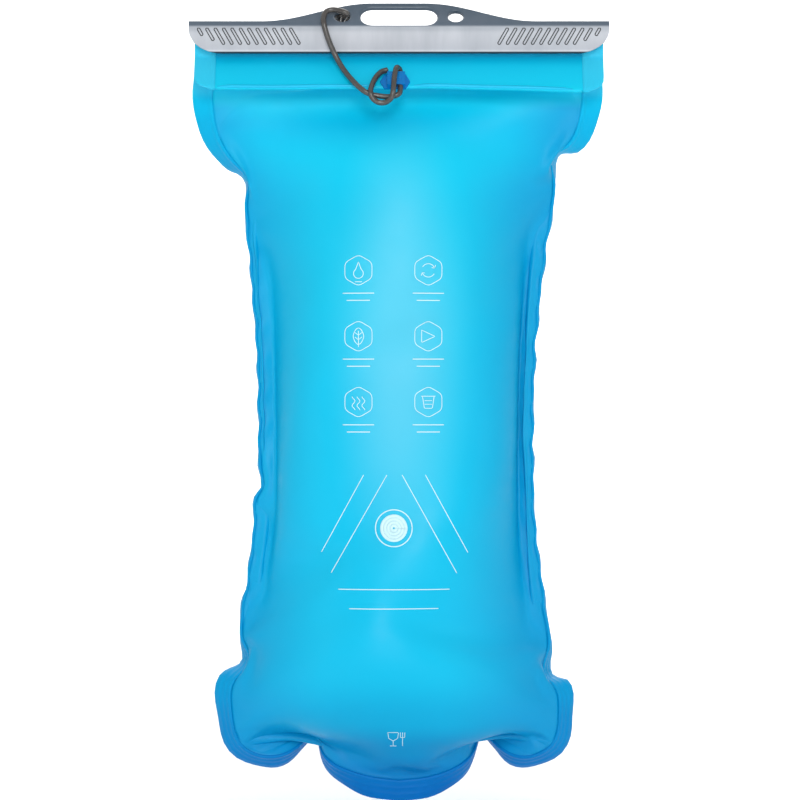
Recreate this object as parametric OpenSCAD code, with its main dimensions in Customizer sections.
// Hydration bladder with a slide-top closure, inflated and hanging from its slider.
// Millimetres. +Z up, -Y is the front. The origin is the centre of the hang slot in the slider.
// The mouth of the film bag is folded forward over a core rail, and the slider grips the fold.

/* [Slider] */
// Length of the slider along the closure
slider_l = 190; // [184:1:200]
// Height of the flat front face
face_h = 12.8; // [12.4:0.2:14]
// Thickness of the channel's front and back walls
channel_wall = 1.8; // [1.6:0.1:2.4]
// Height of the carry fin's crest above the hang slot's centre
crest_z = 5.6; // [5.2:0.1:7]
// Height of the fin above the hang slot's centre line at the ends, usually negative
end_z = -2.6; // [-3:0.1:-2.2]
// Backward lean of the fin, in degrees
fin_lean = 40; // [36:1:42]
// Thickness of the fin
fin_t = 2.8; // [2.4:0.1:3]
// Length of the hang slot
slot_l = 34.6; // [28:0.2:38]
// Height of the hang slot, measured along the leaning fin
slot_h = 10.6; // [9:0.2:11]
// Radius of each tether hole
tether_hole_r = 3.5; // [3:0.1:3.6]
// Distance of each tether hole from the middle
tether_hole_x = 25.6; // [24:0.2:32]
// Number of grip grooves at each end
grooves = 12; // [4:1:12]

/* [Closure] */
// Thickness of each film
film_t = 0.45; // [0.35:0.05:0.5]
// Radius of the core rail's bulb
rail_r = 2.2; // [2:0.1:2.3]
// Running gap between the films and the slider
slide_gap = 0.3; // [0.25:0.05:0.35]
// Height of the edge of the folded mouth
flap_z = -34.4; // [-38:0.2:-32]

/* [Bag] */
// Flat width of the films, weld to weld outside
bag_w = 184.4; // [176:0.4:186]
// Width of the welded border
weld_w = 9; // [7:0.5:10]
// Lowest point of the bag
bag_z = -353; // [-360:1:-350]

/* [Outlet] */
// Height of the outlet's axis
port_z = -276; // [-282:1:-260]
// Radius of the outlet's weld flange
port_r = 21; // [19:0.5:22]
// Radius of the socket that the hose plug enters
socket_r = 6; // [5.5:0.1:6.2]
// Thickness of the shut-off valve's face seal
seal_t = 0.8; // [0.6:0.1:1]

/* [Tether] */
// Radius of the tether cord
cord_r = 1.1; // [0.9:0.1:1.1]

/* [Hidden] */
$fn = 64;
touch = 0.02;

// Slider section, in the Y-Z plane
rail_z = -9.6;
fold_r = rail_r + film_t;
cavity_r = rail_r + 2 * film_t + slide_gap + 0.2;
face_y = -(cavity_r + channel_wall);
face_top = -4.4;
face_bottom = face_top - face_h;
leg_gap = 0.3;
leg_y = leg_gap + film_t;
throat_y = leg_gap + 2 * film_t + slide_gap;
roof_r = -face_y;
slot_y = fin_y(0);

// Front surface of the leaning fin at a height
function fin_y(z) = face_y + (z - face_top) * tan(fin_lean);

// Crest line of the fin: a smooth rise from the ends to the middle
crest_flat = 12;
crest_run = 50;
function crest(x) =
    let (u = min(1, max(0, (abs(x) - crest_flat) / crest_run)))
    end_z + (crest_z - end_z) * (1 + cos(180 * u)) / 2;

// Grip grooves on the front face
groove_pitch = 3.78;
groove_w = 1.6;
groove_line = 0.35;
groove_deep = 0.35;
groove_lean = 30;
groove_run = 7.2;
groove_first_x = 6.6;
groove_top = -6.4;

// Outline of the bag: [height, half width with its weld], and [height, half depth]
half_width = [[-17, bag_w / 2], [-47, 90], [-66, 76], [-80, 71.4], [-110, 68.4], [-155, 64.2],
              [-210, 63.8], [-250, 67.4], [-284, 72], [-300, 79], [-318, 80], [-336, 72],
              [bag_z + 6, 54], [bag_z, 30]];
half_depth = [[-17.4, 0], [-21, 1.2], [-34, 8], [-48, 14.5], [-66, 21.5], [-90, 29], [-120, 35],
              [-160, 39], [-205, 41], [-245, 40.5], [-275, 38.5], [-300, 34]];
bulge_start = -17.4;
cap_start = -300;
weld_bottom = bag_z + weld_w;

// Flat seat that the outlet's flange makes in the back film
seat_depth = 36;
seat_r = port_r + 10;
seat_blend = 20;
port_y = leg_y + seat_depth + film_t;

// Slope of the hanging flap, and a point on it under the slider
flap_lean = 38;
flap_y0 = -1;
flap_z0 = -19;
function flap_y(z) = flap_y0 + (z - flap_z0) * tan(flap_lean);

// Outlet, measured outwards from the back film's outer face
collar_bore = 9;
collar_r = 12;
collar_h = 9;
flange_t = 1.5;
head_r = 14;
head_h = 3;
mouth_h = collar_h + head_h;
seat_web = 2;
chamber_r = 7;
body_inner = -6;
cage_r = 10.6;
cage_gap = 0.6;
cage_t = 1.6;
stem_r = 1.6;
stem_gap = 0.08;
seat_hole_r = 4;
socket_floor = 3;
flange_seal_h = 5;
socket_seal_h = 3.6;
seal_depth = 1.2;
poppet_r = 5.6;

// Centre line of the tether, from the knot behind the slider to the hitch on the tab
tether_route = [[-25.6, 3.6, -1.6], [-25.5, 1.6, -1.8], [-25.2, -0.4, -1.2], [-24.4, -2.4, -0.2],
                [-23.4, -3.8, 0.7], [-24.8, -4.2, 1.5], [-27.6, -3.2, 2.4], [-30.6, -2.7, 2.6],
                [-33, -3.3, 1.6], [-34, -5, -1], [-33.8, -7.2, -4.4], [-31.8, -7.6, -11.2],
                [-28.6, -7.4, -18.6], [-24.8, -9.6, -25.1], [-20.6, -14, -30.4],
                [-16.6, -16.6, -34.3], [-13, -17.2, -36.4], [-9.2, -17.2, -37.2], [-5.4, -17.4, -37.6],
                [-2, -17.8, -37.2], [0, -17.4, -36.2], [0.6, -15.9, -34.4], [0.6, -13.3, -31.1],
                [0.6, -9.7, -26.6], [0.2, -9.66, -24.7], [-1.1, -11.83, -24.2], [-1.9, -15.1, -27.6],
                [-2.3, -17.8, -31.6], [-2.6, -20.1, -35.2], [-3.4, -20.4, -38.2], [-6, -19.4, -40.2],
                [-9.2, -19.2, -40.2], [-11.8, -19.6, -38.4], [-12.8, -19, -35.6], [-12, -15.2, -31.8],
                [-10.2, -11.6, -28.2], [-7.8, -9.3, -25.8], [-5.2, -8.6, -25]];

// Smooth curve through a table of [key, value], keys falling
function span(k, t, i = 0) = i >= len(t) - 2 || k >= t[i + 1][0] ? i : span(k, t, i + 1);
function slope(t, i) =
    let (a = max(0, i - 1), b = min(len(t) - 1, i + 1))
    (t[b][1] - t[a][1]) / (t[b][0] - t[a][0]);
function smooth(k, t) =
    let (i = span(k, t), d = t[i + 1][0] - t[i][0], u = min(1, max(0, (k - t[i][0]) / d)))
    t[i][1] * (1 + 2 * u) * pow(1 - u, 2) + t[i + 1][1] * u * u * (3 - 2 * u)
    + slope(t, i) * d * u * pow(1 - u, 2) - slope(t, i + 1) * d * u * u * (1 - u);
function ease(u) = let (v = min(1, max(0, u))) v * v * (3 - 2 * v);

function outer_half(z) = smooth(z, half_width);
function inner_half(z) = min(outer_half(z) - weld_w, outer_half(max(bag_z, z - weld_w)));

// One row of film: [y, z, normal y, normal z, outer half width, inner half width, depth, tip angle]
function flat_row(y, z, a, cut = 0) =
    [y, z, cos(a), sin(a), bag_w / 2 - cut, bag_w / 2 - cut - weld_w, 0, -1];
function bag_row(z) = [leg_y, z, 1, 0, outer_half(z), inner_half(z), smooth(z, half_depth), 0];
function cap_row(tip) =
    let (z = cap_start + (weld_bottom - cap_start) * sin(tip))
    [leg_y, z, 1, 0, outer_half(z), inner_half(z), smooth(cap_start, half_depth) * cos(tip), tip];

bag_rows = 15;
fold_step = 22.5;
film_rows = concat(
    [flat_row(flap_y(flap_z), flap_z, 180 - flap_lean, 7),
     flat_row(flap_y(flap_z + 1.2), flap_z + 1.2, 180 - flap_lean, 3.4),
     flat_row(flap_y(flap_z + 4.4), flap_z + 4.4, 180 - flap_lean, 0.6),
     flat_row(flap_y(flap_z0 - 0.6), flap_z0 - 0.6, 180 - 0.7 * flap_lean),
     flat_row(-leg_y, face_bottom - 0.4, 180),
     flat_row(-leg_y, rail_z - 3, 180)],
    [for (a = [225 : -fold_step : -45]) flat_row(fold_r * cos(a), rail_z + fold_r * sin(a), a)],
    [flat_row(leg_y, rail_z - 3, 0)],
    [for (k = [0 : bag_rows - 1])
        bag_row(bulge_start + (cap_start - bulge_start) * pow(k / bag_rows, 1.25))],
    [for (tip = [0 : 15 : 90]) cap_row(tip)],
    [[leg_y, bag_z, 1, 0, outer_half(bag_z), outer_half(bag_z) - weld_w, 0, -1]]);

// Column angles across the film: -90 and 90 are the side welds
function columns(step) = [for (a = [-90 : step : 90]) a];

function seat_pull(x, z, side) =
    side < 0 ? 0 : 1 - ease((norm([x, z - port_z]) - seat_r) / seat_blend);

// A point on the inside (skin 0) or outside (skin 1) of a film; side is -1 front, 1 back
function film_point(r, a, side, skin) =
    let (x = r[5] * sin(a), tip = r[7], flat = r[6] == 0, edge = abs(a) == 90,
         pull = flat ? 0 : seat_pull(x, r[1], side),
         swell = r[6] * cos(a) * (1 - pull) + seat_depth * pull,
         grow = flat ? [0, side * r[2], tip > 0 ? -1 : side * r[3]]
              : edge ? [sin(a), side, -sin(tip)]
              : [sin(a) * (1 - pull), side * (cos(a) * cos(tip) * (1 - pull) + pull), -sin(tip)])
    [x, r[0] + side * swell, r[1]] + skin * film_t * grow;
function border_point(r, dir, side, skin) =
    [dir * r[4], r[0], r[1]] + skin * film_t * side * [0, r[2], r[3]];
function film_line(r, cols, side, skin) =
    concat([border_point(r, -1, side, skin)],
           [for (a = cols) film_point(r, a, side, skin)],
           [border_point(r, 1, side, skin)]);

// Faces of a closed shell between two grids of nr by nc points, the second after the first
function quad(a, b, c, d, flip) = flip ? [[a, c, b], [a, d, c]] : [[a, b, c], [a, c, d]];
function shell_faces(nr, nc, flip) =
    let (m = nr * nc)
    [for (i = [0 : nr - 2], j = [0 : nc - 2], s = [0, 1])
         let (p = s * m + i * nc + j)
         each quad(p, p + 1, p + nc + 1, p + nc, s == 0 ? flip : !flip),
     for (j = [0 : nc - 2], e = [0, nr - 1])
         let (p = e * nc + j)
         each quad(p, p + m, p + m + 1, p + 1, e == 0 ? flip : !flip),
     for (i = [0 : nr - 2], e = [0, nc - 1])
         let (p = i * nc + e)
         each quad(p, p + nc, p + nc + m, p + m, e == 0 ? flip : !flip)];

module film(side, step) {
    cols = columns(step);
    points = [for (skin = [0, 1], r = film_rows) each film_line(r, cols, side, skin)];
    polyhedron(points, shell_faces(len(film_rows), len(cols) + 2, side > 0), convexity = 8);
}

// Frames: the leaning fin, the hanging flap, and the outlet with +Z outwards
module on_fin(x = 0) {
    translate([x, slot_y, 0]) rotate([-fin_lean, 0, 0]) children();
}
module on_flap(x = 0) {
    translate([x, flap_y(flap_z), flap_z]) rotate([-flap_lean, 0, 0]) children();
}
module on_port(h = 0) {
    translate([0, port_y + h, port_z]) rotate([-90, 0, 0]) children();
}

module ring(r1, r2, h) {
    rotate_extrude() translate([r1, 0]) square([r2 - r1, h]);
}

// Extrudes a Y-Z section along X, centred
module along_x(l) {
    rotate([90, 0, 90]) translate([0, 0, -l / 2]) linear_extrude(l) children();
}

module slot_shape(l, h) {
    square([l - h, h], center = true);
    for (s = [-1, 1]) translate([s * (l - h) / 2, 0]) circle(h / 2);
}

function fin_back_y(z) = fin_y(z) + fin_t / cos(fin_lean);
module slider_section() {
    top = crest_z + 1;
    roof = [for (a = [105 : -7.5 : 0]) [roof_r * cos(a), rail_z + roof_r * sin(a)]];
    difference() {
        polygon(concat(
            [[face_y + 0.6, face_bottom], [face_y, face_bottom + 0.6], [face_y, face_top],
             [fin_y(top), top], [fin_back_y(top), top],
             [fin_back_y(rail_z + roof_r), rail_z + roof_r]],
            roof,
            [[-face_y, face_bottom + 0.6], [-face_y - 0.6, face_bottom]]));
        translate([0, rail_z]) circle(cavity_r);
        translate([-throat_y, face_bottom - 1]) square([2 * throat_y, rail_z - face_bottom]);
    }
}

// Front view of the slider: crest line above, large rounded lower corners
module slider_outline() {
    half = slider_l / 2;
    corner_x = 15.4;
    corner_z = 10.8;
    corner = [for (a = [0 : 9 : 90]) [corner_x * (1 - sin(a)), corner_z * (1 - cos(a))]];
    steps = [for (x = [-half : half / 38 : half + 0.01]) [x, crest(x)]];
    left = [for (p = corner) [-half + p[0], face_bottom + p[1]]];
    right = [for (i = [len(corner) - 1 : -1 : 0]) [half - corner[i][0], face_bottom + corner[i][1]]];
    polygon(concat(steps, right, left));
}

module grip_grooves() {
    for (s = [-1, 1], i = [0 : grooves - 1]) {
        run = i == 0 ? 2.6 : i == 1 ? 5.2 : groove_run;
        x = s * (slider_l / 2 - groove_first_x - i * groove_pitch);
        translate([x, face_y + groove_deep, groove_top]) rotate([90, s * groove_lean, 0])
            linear_extrude(1) difference() {
                groove_loop(run, 0);
                groove_loop(run, groove_line);
            }
    }
}

module groove_loop(run, inset) {
    translate([-groove_w / 2 + inset, -run]) square([groove_w - 2 * inset, run]);
    for (z = [0, -run]) translate([0, z]) circle(groove_w / 2 - inset, $fn = 16);
}

module slider() {
    color("lightslategray") difference() {
        intersection() {
            along_x(slider_l) slider_section();
            translate([0, 30, 0]) rotate([90, 0, 0]) linear_extrude(60) slider_outline();
        }
        on_fin() translate([0, fin_t + 0.3, 0]) rotate([90, 0, 0]) linear_extrude(12)
            slot_shape(slot_l, slot_h);
        for (s = [-1, 1]) on_fin(s * tether_hole_x)
            translate([0, fin_t + 0.3, 0]) rotate([90, 0, 0]) cylinder(r = tether_hole_r, h = 12);
        grip_grooves();
    }
}

module front_panel() {
    color("deepskyblue") film(-1, 15);
}

module back_panel() {
    color("deepskyblue") difference() {
        film(1, 10);
        on_port(-5) cylinder(r = collar_bore + 0.5, h = 10);
    }
}

module core_rail() {
    web = leg_gap * 2 - 0.1;
    color("white") along_x(bag_w) {
        translate([0, rail_z]) circle(rail_r - 0.1);
        translate([-web / 2, rail_z - 4]) square([web, 3]);
    }
}

// Two strips along the mouth's edge, left and right of the tether tab
module lip_bead(side) {
    bead_r = 1.2;
    inner_x = 8.6;
    strip = 71.4;
    tab_x = -1.8;
    for (s = [-1, 1])
        on_flap(side > 0 ? tab_x + s * (inner_x + strip / 2) : s * (strip / 2 + 0.2))
            translate([0, -side * (film_t + touch), 2]) along_x(strip) intersection() {
                circle(bead_r);
                translate([-bead_r, -bead_r])
                    translate([side > 0 ? 0 : bead_r, 0]) square([bead_r, 2 * bead_r]);
            }
}

module lip_bead_outer() {
    color("skyblue") lip_bead(1);
}

module lip_bead_inner() {
    color("skyblue") lip_bead(-1);
}

// Welded tab on the mouth's edge, with a raised passage for the tether
module tether_tab() {
    half_w = 6.8;
    tall = 8.4;
    base_t = 0.8;
    arch_w = 8;
    arch_t = 3.3;
    pass_r = 1.35;
    pass_y = 1.7;
    color("royalblue") on_flap(-1.8) translate([0, -film_t - touch, 0]) difference() {
        union() {
            rotate([90, 0, 0]) linear_extrude(base_t)
                polygon([[-half_w, tall / 2], [-half_w + 2, 0], [half_w - 2, 0],
                         [half_w, tall / 2], [half_w - 2, tall], [-half_w + 2, tall]]);
            translate([0.5 - arch_w / 2, -arch_t, 0.4]) cube([arch_w, arch_t, tall - 0.8]);
        }
        translate([1.3, -pass_y, -1]) linear_extrude(tall + 2) {
            translate([-0.9, 0]) circle(pass_r);
            translate([1.1, 0]) circle(pass_r);
            translate([-0.9, -pass_r]) square([2, 2 * pass_r]);
        }
    }
}

// Tube swept along a line of points, with one ring of sides at each point
function unit(v) = v / norm(v);
function along(p, i) = unit(p[min(len(p) - 1, i + 1)] - p[max(0, i - 1)]);
function carried(p, i) =
    i == 0 ? unit(cross(along(p, 0), [0, 0, 1]))
           : let (u = carried(p, i - 1), t = along(p, i)) unit(u - t * (u * t));
module tube(p, r, sides) {
    n = len(p);
    rings = [for (i = [0 : n - 1])
        let (t = along(p, i), u = carried(p, i), v = cross(t, u))
        for (k = [0 : sides - 1])
            p[i] + r * (u * cos(360 * k / sides) + v * sin(360 * k / sides))];
    walls = [for (i = [0 : n - 2], k = [0 : sides - 1])
        let (a = i * sides + k, b = i * sides + (k + 1) % sides)
        each [[a, b, b + sides], [a, b + sides, a + sides]]];
    ends = [[for (k = [sides - 1 : -1 : 0]) k], [for (k = [0 : sides - 1]) (n - 1) * sides + k]];
    polyhedron(rings, concat(walls, ends), convexity = 10);
}

module tether_cord() {
    color("dimgray") tube(tether_route, cord_r, 8);
}

// Stopper knot behind the slider's tether hole
module tether_knot() {
    knot_r = 3.7;
    start = tether_route[0];
    color("dimgray") translate([start[0], start[1] + 1.9, start[2] + 0.1]) sphere(knot_r, $fn = 32);
}

module port_flange() {
    color("gray") on_port(touch) {
        rotate_extrude() polygon([[collar_bore, 0], [port_r, 0], [port_r, 0.7], [port_r - 3, flange_t],
                                  [collar_r, flange_t], [collar_r, collar_h], [collar_bore, collar_h]]);
    }
}

// Rubber ring in a groove around the valve body, against the collar's bore
module flange_seal() {
    color("black") on_port(flange_seal_h) ring(collar_bore - 1 + touch, collar_bore - touch, 1.4);
}

module valve_body() {
    outer = collar_bore - 0.05;
    color("slategray") on_port(0) rotate_extrude() difference() {
        union() {
            translate([0, body_inner]) square([outer, mouth_h - body_inner]);
            translate([0, collar_h + 2 * touch]) square([head_r - 1, head_h - 2 * touch]);
        }
        translate([-1, body_inner - 1]) square([chamber_r + 1, seat_web - body_inner + 1]);
        translate([-1, 0]) square([1 + seat_hole_r, 6]);
        translate([-1, socket_floor]) square([1 + socket_r, mouth_h]);
        translate([collar_bore - 1, flange_seal_h - touch]) square([2, 1.4 + 2 * touch]);
        translate([socket_r - 1, socket_seal_h - touch]) square([1 + seal_depth, 1.6 + 2 * touch]);
    }
}

// Rubber ring inside the socket, flush with its wall
module socket_seal() {
    color("black") on_port(socket_seal_h) ring(socket_r + touch, socket_r + seal_depth - touch, 1.6);
}

// Valve head, with a tip that the hose plug pushes and a tail that the cage guides
module valve_poppet() {
    tip_r = 2.2;
    tip_h = 2.8;
    head_t = seat_web - seal_t;
    tail = body_inner - cage_t;
    color("lightgray") on_port(0) rotate_extrude() polygon([
        [0, tail], [stem_r, tail], [stem_r, 0], [poppet_r, 0], [poppet_r, head_t - touch],
        [tip_r, head_t - touch], [tip_r, tip_h - 0.6], [stem_r, tip_h], [0, tip_h]]);
}

module poppet_seal() {
    color("black") on_port(seat_web - seal_t) ring(2.2 + touch, poppet_r, seal_t - 2 * touch);
}

module valve_spring() {
    turns = 4;
    coil_r = 3.6;
    wire_r = 0.35;
    low = body_inner + wire_r + 0.05;
    high = -wire_r - 0.05;
    steps = turns * 14;
    path = [for (i = [0 : steps])
        let (a = 360 * turns * i / steps)
        [coil_r * cos(a), coil_r * sin(a), low + (high - low) * i / steps]];
    color("silver") on_port(0) tube(path, wire_r, 6);
}

// Cap inside the bag that holds the spring, with windows for the water
module valve_cage() {
    floor_h = body_inner - cage_t;
    color("gray") on_port(floor_h) difference() {
        rotate_extrude() polygon([[stem_r + stem_gap, 0], [cage_r, 0], [cage_r, -floor_h - film_t - cage_gap],
                                  [collar_bore, -floor_h - film_t - cage_gap],
                                  [collar_bore, cage_t - touch], [stem_r + stem_gap, cage_t - touch]]);
        for (a = [0 : 60 : 300]) rotate([0, 0, a]) translate([5.6, 0, -1]) cylinder(r = 1.5, h = 4);
    }
}

// Trim cap over the mouth of the outlet
module port_trim() {
    color("slategray") on_port(collar_h) rotate_extrude() polygon([
        [head_r - 1 + touch, 0.2], [head_r, 0], [head_r + 0.6, 0.6], [head_r + 0.6, head_h],
        [head_r - 0.4, head_h + 1.4], [socket_r + 1.6, head_h + 1.4], [socket_r + 0.4, head_h + 0.6],
        [socket_r + 0.4, head_h + touch], [head_r - 1 + touch, head_h + touch]]);
}

slider();
front_panel();
back_panel();
core_rail();
lip_bead_outer();
lip_bead_inner();
tether_tab();
tether_cord();
tether_knot();
port_flange();
flange_seal();
valve_body();
socket_seal();
valve_poppet();
poppet_seal();
valve_spring();
valve_cage();
port_trim();
